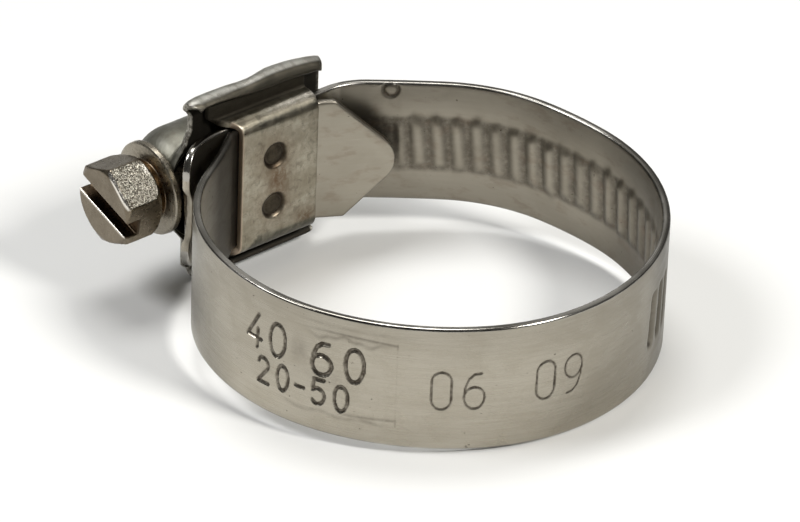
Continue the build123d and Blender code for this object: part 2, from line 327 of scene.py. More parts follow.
def build_band():
    V, F, C, D, RM, SH = [], [], [], [], [], []
    cols = {0: [], 1: []}      # per face: index lists, one per column
    base = 0
    for side in (0, 1):
        prev = None
        for ss, r_out, r_in in PANELS:
            t = r_out if side == 0 else r_in
            lo, hi = z_limits(ss)
            S = np.repeat(ss[:, None], len(t), 1)
            Z = lo[:, None] + (hi - lo)[:, None] * t[None]
            dz = np.minimum(Z - lo[:, None], hi[:, None] - Z)
            # the rounded rim keeps its width where the strip narrows
            squeeze = np.minimum(t, 1 - t)[None] * 12
            dz = np.minimum(dz, np.where(squeeze < RE, squeeze * np.clip((hi - lo)[:, None] / 12, .2, 1) * 1.0, 9))
            half = edge_round(dz, T, RE * np.clip((hi - lo)[:, None] / 6, .3, 1))
            end = np.minimum(S - S_TIP, S_END - S)
            half = np.minimum(half, edge_round(np.maximum(end, 0), T, .09))
            do, di = thread(S, Z)
            st, ink = stamp_depth(S, Z)
            if side == 0:
                off = T / 2 - half + do + st
                dirt = np.maximum(ink, np.clip(do / .4, 0, 1) * .8)
            else:
                # half-round tool mark near the upper rim, on the inside
                rr = np.hypot(S - 124.02, (Z - 5.35) * .95)
                mark = .13 * np.exp(-((rr - .66) / .15) ** 2) - .05 * np.exp(-(rr / .34) ** 2)
                mark = mark * (Z < 5.93)
                rad = .3 * np.exp(-((rr - .70) / .2) ** 2)
                off = T / 2 + half + di - mark
                val = np.clip(1 - di / .30, 0, 1) * sstep(3.0, 2.4, np.abs(Z + .12)) * (S > 80.9)
                dirt = np.maximum(.75 * val, np.clip(mark / .13, 0, 1))
            X, Y, h = BAND.at(S)
            V.append(np.stack([X - off * np.sin(h), Y + off * np.cos(h), Z], -1).reshape(-1, 3))
            C.append(np.stack([S, Z, 0 * S + side], -1).reshape(-1, 3))
            D.append(dirt.reshape(-1))
            RM.append((sstep(.26, .13, dz) * np.where(S < 8, .10, 1)).reshape(-1))
            # painted shade: inside the housing, and on the stretch beside it
            hid = sstep(7.9, 8.6, S) * sstep(15.6, 15.0, S) + sstep(130.6, 131.6, S) * sstep(141.6, 141.0, S)
            beside = (sstep(14.8, 16.2, S) * sstep(27.5, 19.5, S)) if side == 1 else .25 * sstep(15.0, 16.2, S) * sstep(19.5, 17.5, S)
            # painted shade by position: the outer face darker at both ends, at the far right and towards its top edge,
            # lighter towards its bottom edge; the inside darker on its right-hand stretch near both edges, with stripes
            # of painted shade near the housing
            if side == 0:
                tone = np.interp(S, [16, 30, 42, 56, 66, 74, 80, 84, 100], [.37, .33, .15, .06, .11, .31, .40, .84, .84]) + .12 * sstep(1.5, 5.5, Z) - .12 * sstep(-1.0, -5, Z)
            else:
                tone = .05 + .27 * sstep(2.2, 5.0, Z) * sstep(80, 95, S) + .13 * sstep(-2, -5, Z) * sstep(80, 95, S) + .05
                tone = tone + .07 * np.sin(S * 1.9 + np.sin(S * .7) * 2) * sstep(27.5, 22, S)
            # painted shade on the rims at the strip's tip inside the housing
            hid = hid + .45 * sstep(.26, .13, dz) * (S < 8)
            SH.append(np.clip(hid + 1.12 * beside + tone * (S > 15.5) * (S < 129), 0, 1).reshape(-1))
            g = base + np.arange(S.size).reshape(S.shape)
            base += S.size
            q = np.stack([g[:-1, :-1], g[1:, :-1], g[1:, 1:], g[:-1, 1:]], -1).reshape(-1, 4)
            F += [tuple(x) for x in (q if side == 0 else q[:, ::-1])]
            if prev is not None:
                for a, b, c in zipper(prev[0], prev[1], g[0], Z[0]):
                    F.append((a, b, c) if side == 0 else (c, b, a))
            prev = (g[-1], Z[-1])
            cols[side] += [row for row in g]
    # rims and ends
    o, i = cols[0], cols[1]
    for k in range(len(o) - 1):
        F.append((o[k][0], i[k][0], i[k + 1][0], o[k + 1][0]))
        F.append((o[k + 1][-1], i[k + 1][-1], i[k][-1], o[k][-1]))
    for a, b, flip in ((o[0], i[0], False), (o[-1], i[-1], True)):
        for r in range(len(a) - 1):
            f = (a[r], a[r + 1], b[r + 1], b[r])
            F.append(f[::-1] if flip else f)
    C = np.concatenate(C)
    ob = make_object("band_strip", np.concatenate(V), F, sharp=50, strip=C, dirt=np.concatenate(D),
                     rim=np.concatenate(RM), shade=np.concatenate(SH))
    return fix_normals(ob)


band = build_band()
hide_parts("band"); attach(band, "clamp")


# ------------------------------------------------------------------ saddle
def build_saddle():
    t, r, rc = .68, .60, 1.00
    wall, plate, flange, top = 6.19 + .34, 19.113 + .34, 21.24 + .34, 8.40
    P = Path(flange, top, -pi / 2, [(0, top - (wall + r)), (r, -90.0), (0, flange - plate - r - rc), (rc, 90.0),
                                    (0, 2 * (wall - rc)), (rc, 90.0), (0, flange - plate - r - rc), (r, -90.0),
                                    (0, top - (wall + r))])
    L = P.length
    mid = L / 2
    z1 = wall - rc
    u = spaced((0, .3, .1), (.3, P.s[1], .25), (P.s[1], P.s[2], .09), (P.s[2], P.s[3], .2), (P.s[3], P.s[4], .07),
               (P.s[4], mid - 4.1, .3), (mid - 4.1, mid - 1.1, .1), (mid - 1.1, mid + 1.1, .25), (mid + 1.1, mid + 4.1, .1),
               (mid + 4.1, P.s[5], .3), (P.s[5], P.s[6], .07), (P.s[6], P.s[7], .2), (P.s[7], P.s[8], .09),
               (P.s[8], L - .3, .25), (L - .3, L, .1))
    Y, Z, H = P.at(u)
    # normal to the hose side: right of travel
    NY, NZ = np.sin(H), -np.cos(H)
    xl = np.interp(Y, [19.6, 21.35, 21.55, 21.58], [-7.30, -8.70, -9.20, -9.45])
    xr = np.full_like(Y, 1.00)
    e = np.array([0, .015, .05, .10, .16])
    w = np.concatenate([e, spaced((.35, 1.6, .3), (1.6, 5.1, .1), (5.1, 7.9, .3)), 8.30 - e[::-1]]) / 8.30
    X = xl[:, None] + (xr - xl)[:, None] * w[None]
    d = np.minimum(X - xl[:, None], xr[:, None] - X)
    du = np.minimum(u, L - u)[:, None]
    half = np.minimum(edge_round(d, t, .16), edge_round(du + 0 * X, t, .16))
    Zg = np.repeat(Z[:, None], X.shape[1], 1)
    rr = np.minimum(np.hypot(X + 3.68, Zg - 2.54), np.hypot(X + 3.74, Zg + 2.58))
    flat = (np.abs(u - mid) < z1)[:, None]
    dent = np.interp(rr, [0, .45, .72, .86, 1.02, 1.14, 1.24, 1.34], [.11, .13, .17, .27, .31, .20, .05, 0]) * flat
    # slight waviness of the pressed sheet
    wave = .03 * np.sin(X * 1.7 + Zg * .9) * np.sin(Zg * 1.1) * flat
    Pm = np.stack([X, np.repeat(Y[:, None], X.shape[1], 1), Zg], -1)
    N = np.stack([0 * X, np.repeat(NY[:, None], X.shape[1], 1), np.repeat(NZ[:, None], X.shape[1], 1)], -1)
    A = half - dent + np.minimum(wave, 0)
    B = np.maximum(half + .0 * dent, half)
    V, F = slab(Pm, N, A, B)
    ring = np.exp(-((rr - 1.03) / .20) ** 2)
    core = sstep(1.0, .8, rr)
    C = np.stack([X, np.repeat((u - mid)[:, None], X.shape[1], 1), 0 * X], -1).reshape(-1, 3)
    C2 = C.copy(); C2[:, 2] = 1
    both = lambda a: np.concatenate([(a * flat).reshape(-1), 0 * a.reshape(-1)])
    near = np.exp(-(rr / 1.9) ** 2) * (1 - core)
    belt = np.exp(-((X + 3.3) / 1.1) ** 2) * np.exp(-(Zg / 1.3) ** 2) + .9 * np.exp(-((X + .3) / 1.2) ** 2 - ((Zg + 5.0) / 1.0) ** 2)
    uu = np.repeat(np.abs(u - mid)[:, None], X.shape[1], 1)
    top_ = Zg > 0
    shade = np.where(top_, sstep(7.0, 7.75, uu) * (1 - .50 * sstep(-3.0, .8, X) * sstep(8.1, 7.6, uu)), sstep(6.0, 6.9, uu))
    # painted highlight along the top bend, fading out to the left
    bend = np.where(top_, np.exp(-((uu - 6.75) / .28) ** 2), 0) * sstep(-5.6, -1.4, X)
    # painted shade: a dark band below the top bend's highlight, and the lower bend from where it starts to turn under
    lower_shade_from = np.interp(X, [-6.9, -5.4, 1], [6.3, 5.15, 5.50])
    under = np.where(top_, .85 * np.exp(-((uu - 6.0) / .36) ** 2) * sstep(-7.2, -5.0, X), sstep(lower_shade_from - .10, lower_shade_from + .14, uu))
    # the cut end and its rounded edge: brown, lightened as a painted highlight
    end = sstep(.17, .06, X - xl[:, None]) * (uu < 6.9)
    full = lambda a: np.concatenate([a.reshape(-1), a.reshape(-1)])
    ob = make_object("saddle_plate", V, F, sharp=45, shade=full(shade), bend=full(bend), under=full(under), endm=full(end), strip=np.concatenate([C, C2]),
                     dirt=both(np.maximum(ring, .0)), core=both(core), stain=both(np.clip(near * .7 + belt, 0, 1)))
    return fix_normals(ob)


saddle = build_saddle()
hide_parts("saddle"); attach(saddle, "clamp")


# ------------------------------------------------------------------ cover
def build_cover():
    t = .60
    fl0 = 21.24
    inner, outer = fl0 - .03 - t / 2, fl0 + .68 + .03 + t / 2
    rf = (outer - inner) / 2
    seam_z = 8.45
    ro, b0, x_full, nose = 4.60, 2.25, -9.90, -12.62
    # columns: full barrel from the right, then the nose's quarter ellipse
    e = np.array([0, .015, .05, .10, .16])
    xs = np.concatenate([2.75 - e, spaced((-9.90, 2.35, .22))[::-1]])
    tt = np.radians(spaced((4, 84, 5), (84, 90, 1.5)))
    par = [(x, 0.0) for x in xs] + [(None, a) for a in tt]
    cols = []
    for x, a in par:
        r = b0 + (ro - b0) * cos(a)
        rb = r - t / 2
        f = .9 * cos(a) ** .5 + .36 * (1 - cos(a) ** .5) if a else .9
        dy = outer + f - SCREW_Y
        dz = sqrt(max((rb + f) ** 2 - dy ** 2, .01))
        ang = atan2(dz, dy)
        y, z = [], []
        kind = []
        def add(yy, zz, kk):
            y.extend(yy); z.extend(zz); kind.extend([kk] * len(yy))
        ph = np.linspace(radians(22), pi, 19)[:-1]
        add(list(inner + rf - rf * np.cos(ph)), list(seam_z + rf * np.sin(ph)), 1)
        zz = np.concatenate([np.linspace(seam_z, 4.9, 9)[:-1], np.linspace(4.9, dz, 8)[:-1]])
        add([outer] * len(zz), list(zz), 2)
        ph = np.linspace(0, ang, 8)[:-1]
        add(list(outer + f - f * np.cos(ph)), list(dz - f * np.sin(ph)), 3)
        # barrel arc from the fillet over the top
        a0 = atan2(dz * rb / (rb + f), (SCREW_Y - (SCREW_Y + dy * rb / (rb + f))) * -1)
        ph = np.linspace(a0, -a0, 41)[:-1]
        add(list(SCREW_Y + rb * np.cos(ph)), list(rb * np.sin(ph)), 4)
        # mirror
        ym, zm, km = y[:-40][::-1], [-v for v in z[:-40]][::-1], kind[:-40][::-1]
        y += [SCREW_Y + rb * cos(-a0)] + ym; z += [rb * sin(-a0)] + zm; kind += [4] + km
        xx = x if x is not None else None
        zz = np.abs(np.array(z))
        if xx is None:
            # the nose turns in; brims and web end sooner
            reach = np.interp(zz, [0, 2.2, 3.3, 4.9, 8.0, 20], [2.72, 2.72, 2.45, 1.45, 1.45, 1.45])
            isflat = np.array([k in (0, 1, 2) for k in kind])
            reach = np.where(isflat, reach, 2.72)
            xcol = x_full - reach * sin(a)
        else:
            xcol = np.full(len(z), x)
        cols.append(np.stack([xcol, y, z], -1))
    P = np.stack(cols, 1)                       # rows x columns
    # settle the sheet: the pressed seam isn't a perfect tube
    X, Y, Z = P[..., 0].copy(), P[..., 1].copy(), P[..., 2].copy()
    up = sstep(7.6, 8.6, np.abs(Z))
    cam = Z > 0
    low = np.interp(X, [-11.4, -10.8, -9.0, -7.0, -5.6, -4.6, -3.4, -1.5, .5, 1.8, 2.4, 2.75],
                    [.22, .04, .00, .02, .08, .04, -.00, .02, .14, .30, .42, .60])
    low2 = np.interp(X, [-11.4, -10.5, -6, -2, 1.8, 2.75], [.85, .68, .64, .68, .72, .80])
    Z = Z - np.sign(Z) * up * np.where(cam, low, low2)
    # 0 on the brim's side of the seam, 1 at the lip
    q = np.clip((outer - Y) / (outer - inner), 0, 1) * up
    Y = Y + up * cam * (1 - .85 * q) * np.interp(X, [-11.2, -10, -7, -4.6, -3.7, -2.4, -.2, 1.6, 2.4], [0, .22, .20, .03, .16, .48, .46, .22, .05])
    Z = Z - cam * sstep(.70, 1, q) * np.interp(X, [-8.5, -6.0, -3.0, 1.0, 2.75], [.0, .16, .42, .38, .15])
    X = X + sstep(.9, 2.75, X) * np.where(cam, np.interp(q, [0, .4, .8, 1], [.42, .12, -.12, -.34]), -.75 * up)
    X = X + sstep(-9.6, -11.4, X) * .55 * sstep(5.0, 6.3, Z) * (1 - up)
    X = X + sstep(-9.6, -11.4, X) * np.where(cam, .85 * sstep(.55, 1, q), .55 * up)
    P = np.stack([X, Y, Z], -1)
    # normals from the grid
    dR = np.gradient(P, axis=0); dC = np.gradient(P, axis=1)
    N = np.cross(dR, dC)
    N /= np.linalg.norm(N, axis=-1, keepdims=True) + 1e-12
    mid_row = P.shape[0] // 2
    if N[mid_row, 5, 1] < 0:
        N = -N
    # edges
    arc_r = np.concatenate([[0], np.cumsum(np.linalg.norm(np.diff(P[:, 3], axis=0), axis=1))])
    dr = np.minimum(arc_r, arc_r[-1] - arc_r)[:, None]
    arc_c = np.concatenate([np.zeros((P.shape[0], 1)), np.cumsum(np.linalg.norm(np.diff(P, axis=1), axis=2), axis=1)], 1)
    dc = np.minimum(arc_c, arc_c[:, -1:] - arc_c)
    half = np.minimum(edge_round(dc, t, .16), edge_round(dr + 0 * dc, t, .16))
    V, F = slab(P, N, half, half)
    C = np.stack([X, np.repeat(arc_r[:, None], X.shape[1], 1), 0 * X], -1).reshape(-1, 3)
    C2 = C.copy(); C2[:, 2] = 1
    bead = up.reshape(-1)
    # which way the sheet faces, for painted light and painted shade on the bead: 1 outwards and up, 0 towards the hose
    # or inside the lip
    lip = np.clip(.5 + .5 * (N[..., 1] * .75 + np.abs(N[..., 2]) * np.where(Z > 0, .66, -.3)), 0, 1).reshape(-1)
    # painted highlights along the sheet's edges
    edge = sstep(.24, .08, dc).reshape(-1)
    # painted shade: the whole inside of the cover and the lower seam's bead are darkened
    ob = make_object("housing_shell", V, F, sharp=50, strip=np.concatenate([C, C2]),
                     dirt=np.concatenate([(.85 * up * (Z < 0)).reshape(-1), 1 + 0 * bead]), bead=np.concatenate([bead, 0 * bead]),
                     lip=np.concatenate([lip, 0 * lip]), edge=np.concatenate([edge, edge]))
    return fix_normals(ob)


cover = build_cover()
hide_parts("housing_cover"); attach(cover, "clamp")


# ------------------------------------------------------------------ screw
AF = 6.80
HX0, HX1 = -18.20, -14.15
FLAT = 9.0


def polar(name, xs, rad, n):
    """A closed body round the screw's axis; rad(x, angle) is its radius."""
    th = np.linspace(0, 2 * pi, n, endpoint=False)
    X, A = np.meshgrid(xs, th, indexing="ij")
    Rr = rad(X, A)
    V = np.stack([X, SCREW_Y + Rr * np.cos(A), Rr * np.sin(A)], -1).reshape(-1, 3)
    g = np.arange(len(xs) * n).reshape(len(xs), n)
    g2 = np.roll(g, -1, 1)
    F = [tuple(f) for f in np.stack([g[:-1], g2[:-1], g2[1:], g[1:]], -1).reshape(-1, 4)]
    F.append(tuple(g[0][::-1])); F.append(tuple(g[-1]))
    return V, F


def build_head():
    rc = AF / sqrt(3)

    def rad(x, a):
        q = np.mod(a - radians(FLAT) + pi / 6, pi / 3) - pi / 6
        hexr = AF / 2 / np.cos(q)
        env = np.interp(x, [HX0, HX0 + .30, HX1 - 1.05, HX1 - .45, HX1], [AF / 2 - .08, rc - .02, rc + .0, AF / 2 + .22, AF / 2 - .35])
        return np.minimum(hexr, env)
    xs = np.concatenate([[HX0, HX0 + .05], spaced((HX0 + .1, HX1 - .02, .085)), [HX1]])
    V, F = polar("h", xs, rad, 216)
    ob = make_object("head_raw", V, F)
    fix_normals(ob)
    # the driver slot
    bm = bmesh.new()
    bmesh.ops.create_cube(bm, size=1.0)
    a = radians(15.0)
    for v in bm.verts:
        x, y, z = v.co.x * 2.0 + HX0 + .25, v.co.y * 12, v.co.z * 1.60
        v.co = Vector((x, SCREW_Y + y * cos(a) - z * sin(a), y * sin(a) + z * cos(a))) * MM
    me = bpy.data.meshes.new("cut"); bm.to_mesh(me); bm.free()
    cut = bpy.data.objects.new("cut", me); sc.collection.objects.link(cut)
    m = ob.modifiers.new("slot", "BOOLEAN"); m.operation = "DIFFERENCE"; m.object = cut; m.solver = "EXACT"
    m = ob.modifiers.new("fuse", "REMESH"); m.mode = "VOXEL"; m.voxel_size = .075 * MM
    m = ob.modifiers.new("ease", "SMOOTH"); m.iterations = 3; m.factor = .5
    dg = bpy.context.evaluated_depsgraph_get()
    got = bpy.data.meshes.new_from_object(ob.evaluated_get(dg))
    n = len(got.vertices)
    V = np.empty(n * 3, np.float32); got.vertices.foreach_get("co", V); V = V.reshape(-1, 3) / MM
    N = np.empty(n * 3, np.float32); got.vertex_normals.foreach_get("vector", N); N = N.reshape(-1, 3)
    F = [tuple(p.vertices) for p in got.polygons]
    bpy.data.objects.remove(ob); bpy.data.objects.remove(cut); bpy.data.meshes.remove(got)
    return V, N, F


def noise3(P, f, seed):
    """Smooth value noise at points P, frequency f per mm."""
    r = np.random.default_rng(seed).random((64, 64, 64))
    q = P * f + 31.7
    i = np.floor(q).astype(int); u = q - i; u = u * u * (3 - 2 * u)
    out = 0
    for dx in (0, 1):
        for dy in (0, 1):
            for dz in (0, 1):
                w = (u[:, 0] if dx else 1 - u[:, 0]) * (u[:, 1] if dy else 1 - u[:, 1]) * (u[:, 2] if dz else 1 - u[:, 2])
                out = out + w * r[(i[:, 0] + dx) % 64, (i[:, 1] + dy) % 64, (i[:, 2] + dz) % 64]
    return out * 2 - 1


def build_screw():
    V, N, F = build_head()
    # one flat is rough, as cold-headed metal is
    d = np.array([0, cos(radians(129)), sin(radians(129))])
    rel = V - np.array([0, SCREW_Y, 0])
    on = sstep(.90, .985, N @ d) * sstep(AF / 2 - .35, AF / 2 - .12, rel @ d) * sstep(HX0 + .10, HX0 + .5, V[:, 0])
    rough = noise3(V, 3.2, 3) * .6 + noise3(V, 6.5, 4) * .5
    soft = noise3(V, .8, 5)
    V = V + N * (on * rough * .032 + (1 - on) * soft * .012)[:, None]
    nh = len(V)
    # groove, collar, neck and worm in one turned body
    px = [HX1 - .5, HX1 - .12, HX1 - .03, HX1 + .06, -13.56, -13.50, -13.47, -13.38, -13.0, -12.88, -12.79, -12.75, -12.74, -12.6, -9.6,
          -8.9, 1.0, 1.3, 1.36, 2.1, 2.32, 2.40]
    pr = [2.0, 2.2, 2.75, 2.72, 2.74, 2.80, 4.02, 4.21, 4.25, 4.23, 4.12, 3.98, 2.0, 1.95, 1.95,
          2.28, 2.28, 2.1, 2.05, 2.05, 1.9, 1.55]
    xs = np.unique(np.concatenate([px, spaced((-9.6, 1.3, .09)), spaced((-13.45, -12.78, .07)), spaced((-14.1, -13.5, .1))]))

    def rad(x, a):
        r = np.interp(x, px, pr)
        turns = x / PITCH - a / (2 * pi)
        u = np.abs(np.mod(turns + .5, 1) - .5)
        ridge = .80 * sstep(.34, .17, u) * sstep(-9.3, -8.3, x) * sstep(1.25, .45, x)
        return r + ridge
    V2, F2 = polar("s", xs, rad, 128)
    F = F + [tuple(i + nh for i in f) for f in F2]
    Va = np.concatenate([V, V2])
    relr = np.hypot(Va[:, 1] - SCREW_Y, Va[:, 2])
    x = Va[:, 0]
    groove = sstep(-14.32, -14.16, x) * sstep(-13.50, -13.62, x)
    # the slot's walls and floor
    a = radians(15.0)
    v = -(Va[:, 1] - SCREW_Y) * sin(a) + Va[:, 2] * cos(a)
    slot = sstep(.92, .80, np.abs(v)) * sstep(HX0 + .02, HX0 + .16, x) * (x < HX0 + 1.5)
    rgh = np.concatenate([on, np.zeros(len(V2))])
    # painted highlights on edges: the slot's lower lip and the borders of the rough flat
    ra = Va - np.array([0, SCREW_Y, 0])
    lipe = np.exp(-((v + .86) / .085) ** 2) * sstep(HX0 + .14, HX0 + .03, x) * (relr < 3.55)
    fl = ra @ d
    ang = np.degrees(np.arctan2(ra[:, 2], ra[:, 1]))
    e1 = sstep(AF / 2 - .42, AF / 2 - .20, fl) * sstep(HX0 + .30, HX0 + .12, x) * (np.abs(ang - 129) < 31)
    e2 = sstep(AF / 2 - .30, AF / 2 - .10, fl) * np.exp(-((x - HX1 + .62) / .16) ** 2) * sstep(124, 118, ang) * (ang > 96)
    shine = np.clip(lipe + e1 + e2, 0, 1) * (x < HX1)
    ob = make_object("screw_body", Va, F, sharp=60, strip=np.stack([x, np.arctan2(Va[:, 2], Va[:, 1] - SCREW_Y) * relr, relr], -1),
                     rough=rgh, groove=groove, slotm=slot, shine=shine)
    return ob


screw = build_screw()
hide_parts("worm_screw"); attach(screw, "screw")


# ------------------------------------------------------------------ materials
class Nodes:
    def __init__(self, name):
        self.mat = bpy.data.materials.new(name)
        self.mat.use_nodes = True
        self.t = self.mat.node_tree
        self.b = self.t.nodes["Principled BSDF"]

    def add(self, kind, **kw):
        n = self.t.nodes.new(kind)
        for k, v in kw.items():
            setattr(n, k, v)
        return n

    def link(self, a, b):
        self.t.links.new(a, b)

    def attr(self, name):
        n = self.add("ShaderNodeAttribute", attribute_name=name)
        return n

    def scaled(self, vec, scale, loc=(0, 0, 0)):
        n = self.add("ShaderNodeMapping")
        n.inputs["Scale"].default_value = scale
        n.inputs["Location"].default_value = loc
        self.link(vec, n.inputs["Vector"])
        return n.outputs["Vector"]

    def noise(self, vec, scale, detail=4, rough=.55, dist=0.0):
        n = self.add("ShaderNodeTexNoise")
        n.inputs["Scale"].default_value = scale
        n.inputs["Detail"].default_value = detail
        n.inputs["Roughness"].default_value = rough
        n.inputs["Distortion"].default_value = dist
        self.link(vec, n.inputs["Vector"])
        return n.outputs["Fac"]

    def ramp(self, fac, lo, hi, a=0.0, b=1.0):
        n = self.add("ShaderNodeMapRange")
        n.interpolation_type = "SMOOTHSTEP"
        n.inputs["From Min"].default_value = lo
        n.inputs["From Max"].default_value = hi
        n.inputs["To Min"].default_value = a
        n.inputs["To Max"].default_value = b
        self.link(fac, n.inputs["Value"])
        return n.outputs["Result"]

    def math(self, op, a, b=None):
        n = self.add("ShaderNodeMath", operation=op)
        for i, v in enumerate((a, b)):
            if v is None:
                continue
            if isinstance(v, (int, float)):
                n.inputs[i].default_value = v
            else:
                self.link(v, n.inputs[i])
        return n.outputs[0]

    def mix(self, fac, a, b):
        n = self.add("ShaderNodeMix", data_type="RGBA")
        for sock, v in ((n.inputs[0], fac), (n.inputs[6], a), (n.inputs[7], b)):
            if isinstance(v, (int, float)):
                sock.default_value = v
            elif isinstance(v, tuple):
                sock.default_value = (*v, 1)
            else:
                self.link(v, sock)
        return n.outputs[2]

    def bump(self, height, strength, dist, normal=None):
        n = self.add("ShaderNodeBump")
        n.inputs["Strength"].default_value = strength
        n.inputs["Distance"].default_value = dist
        self.link(height, n.inputs["Height"])
        if normal is not None:
            self.link(normal, n.inputs["Normal"])
        return n.outputs["Normal"]


def steel_base(name, light, dark, along=(.05, 9.0, 1.0), smudge=.35, rough=(.22, .36), line_bump=.12, lines=.5):
    """Rolled strip: fine drawn lines along the first strip coordinate, cloudy tone."""
    k = Nodes(name)
    st = k.attr("strip").outputs["Vector"]
    fine = k.noise(k.scaled(st, along), 3.0, 5, .65)
    mid = k.noise(k.scaled(st, (along[0] * 2.2, along[1] * .17, 1.0), (3, 1, 0)), 2.0, 4, .6)
    cloud = k.noise(k.scaled(st, (.30, .42, 1.0), (7, 2, 0)), 1.0, 5, .6, .6)
    tone = k.math("ADD", k.math("MULTIPLY", fine, lines), k.math("MULTIPLY", mid, 1 - lines))
    col = k.mix(k.ramp(tone, .34, .66), dark, light)
    col = k.mix(k.ramp(cloud, .38, .66, 0, smudge), col, tuple(c * f for c, f in zip(dark, (.80, .76, .70))))
    k.st, k.fine, k.mid, k.cloud, k.col = st, fine, mid, cloud, col
    k.rough = k.math("ADD", k.ramp(fine, .3, .7, rough[0], rough[1]), k.ramp(cloud, .4, .7, 0, .07))
    k.nrm = k.bump(fine, line_bump, .00003)
    return k


def finish(k, metallic=1.0, aniso=0.0):
    k.link(k.col, k.b.inputs["Base Color"])
    k.link(k.rough, k.b.inputs["Roughness"])
    k.link(k.nrm, k.b.inputs["Normal"])
    k.b.inputs["Metallic"].default_value = metallic
    return k.mat


# band: outside drawn satin, rims polished and with painted highlights, inside duller and warmer, painted shade in and
# beside the housing
k = steel_base("band_steel", (.452, .419, .352), (.398, .366, .304), smudge=.22, rough=(.17, .28), lines=.5)
sepx = k.add("ShaderNodeSeparateXYZ"); k.link(k.st, sepx.inputs[0])
inside = sepx.outputs["Z"]
rim = k.attr("rim").outputs["Fac"]; shade = k.attr("shade").outputs["Fac"]
k.col = k.mix(k.math("MULTIPLY", inside, .62), k.col, (.300, .272, .220))
# painted shade: the right-hand stretch of the inside is darker
k.col = k.mix(k.math("MULTIPLY", inside, k.math("MULTIPLY", k.ramp(sepx.outputs["X"], 80, 92, 0, .55), k.ramp(sepx.outputs["X"], 104, 96, 0, 1))), k.col, (.150, .135, .108))
specks = k.noise(k.scaled(k.st, (1.0, 1.0, 1.0), (3, 9, 4)), 1.9, 2, .5)
k.col = k.mix(k.ramp(specks, .735, .78, 0, .75), k.col, (.07, .055, .04))
dirt = k.attr("dirt").outputs["Fac"]
blotch = k.noise(k.scaled(k.st, (.8, .8, 1), (1, 5, 2)), 2.0, 5, .7)
rust = k.math("MULTIPLY", dirt, k.ramp(blotch, .30, .62, .45, 1.0))
k.col = k.mix(k.math("MULTIPLY", rust, .93), k.col, (.046, .035, .025))
warm = k.math("MULTIPLY", inside, k.ramp(k.noise(k.scaled(k.st, (.25, .5, 1), (9, 4, 2)), 1.6, 4, .6), .52, .70, 0, .35))
k.col = k.mix(warm, k.col, (.21, .155, .115))
# painted highlights and painted reflection on the rims: their colour swings along the strip between dark and bright
# patches
along = k.noise(k.scaled(k.st, (.085, 0, 0), (2.3, 0, 0)), 1.0, 3, .5)
k.col = k.mix(k.math("MULTIPLY", rim, .9), k.col, k.mix(k.ramp(along, .42, .60), (.22, .21, .19), (.62, .60, .56)))
k.col = k.mix(k.math("MULTIPLY", shade, .86), k.col, (.030, .026, .020))
k.rough = k.math("ADD", k.rough, k.math("MULTIPLY", inside, .10))
k.rough = k.math("ADD", k.rough, k.math("MULTIPLY", dirt, .12))
k.rough = k.math("SUBTRACT", k.rough, k.math("MULTIPLY", rim, .12))
k.rough = k.math("ADD", k.rough, k.math("MULTIPLY", shade, .16))
k.nrm = k.bump(blotch, .10, .00006, k.nrm)
band.data.materials.append(finish(k))

# saddle: stained, greyer; painted shade under the seam's lip, below the top bend and on the lower bend, a painted
# highlight on the top bend
k = steel_base("saddle_steel", (.420, .390, .312), (.290, .260, .200), along=(.35, 3.2, 1.0), smudge=.5, rough=(.26, .44), line_bump=.10, lines=.35)
dirt = k.attr("dirt").outputs["Fac"]; core = k.attr("core").outputs["Fac"]; stain = k.attr("stain").outputs["Fac"]
shade = k.attr("shade").outputs["Fac"]; bend = k.attr("bend").outputs["Fac"]; endm = k.attr("endm").outputs["Fac"]
bl = k.noise(k.scaled(k.st, (.9, .7, 1), (2, 2, 2)), 1.6, 6, .7, .8)
k.col = k.mix(k.ramp(bl, .50, .66, 0, .55), k.col, (.165, .145, .110))
k.col = k.mix(k.math("MULTIPLY", stain, k.ramp(bl, .32, .56, .40, 1.0)), k.col, (.150, .100, .062))
# painted shade, mottled: below the top bend's highlight and on the lower bend
under = k.attr("under").outputs["Fac"]
k.col = k.mix(k.math("MULTIPLY", under, k.ramp(bl, .34, .58, .62, .92)), k.col, (.100, .097, .078))
k.col = k.mix(k.math("MULTIPLY", core, .90), k.col, k.mix(k.ramp(bl, .36, .60), (.055, .042, .028), (.032, .024, .016)))
k.col = k.mix(k.math("MULTIPLY", dirt, .95), k.col, (.022, .016, .011))
# painted highlight on the top bend
k.col = k.mix(k.math("MULTIPLY", bend, k.ramp(bl, .36, .60, .9, .35)), k.col, (.74, .70, .63))
# the cut end: brown, with a painted highlight
k.col = k.mix(k.math("MULTIPLY", endm, .88), k.col, (.640, .520, .400))
k.col = k.mix(k.math("MULTIPLY", shade, .93), k.col, (.028, .024, .018))
k.rough = k.math("ADD", k.rough, k.math("MULTIPLY", core, .25))
k.rough = k.math("ADD", k.rough, k.math("MULTIPLY", endm, .16))
k.rough = k.math("ADD", k.rough, k.math("MULTIPLY", dirt, .12))
k.rough = k.math("ADD", k.rough, k.math("MULTIPLY", shade, .38))
k.nrm = k.bump(bl, .22, .00010, k.nrm)
saddle.data.materials.append(finish(k))

# cover: darker, greyish green; on the seam's bead painted light where it faces up and out and painted shade under the
# lip, painted glints, painted shade inside and on the lower bead, painted highlights on the edges
k = steel_base("cover_steel", (.265, .262, .226), (.185, .181, .150), along=(.28, 2.4, 1.0), smudge=.45, rough=(.40, .52), line_bump=.10, lines=.3)
bl = k.noise(k.scaled(k.st, (.8, .8, 1), (5, 2, 2)), 1.5, 6, .7, .5)
k.col = k.mix(k.ramp(bl, .50, .68, 0, .5), k.col, (.15, .135, .105))
lip = k.attr("lip").outputs["Fac"]; bead = k.attr("bead").outputs["Fac"]
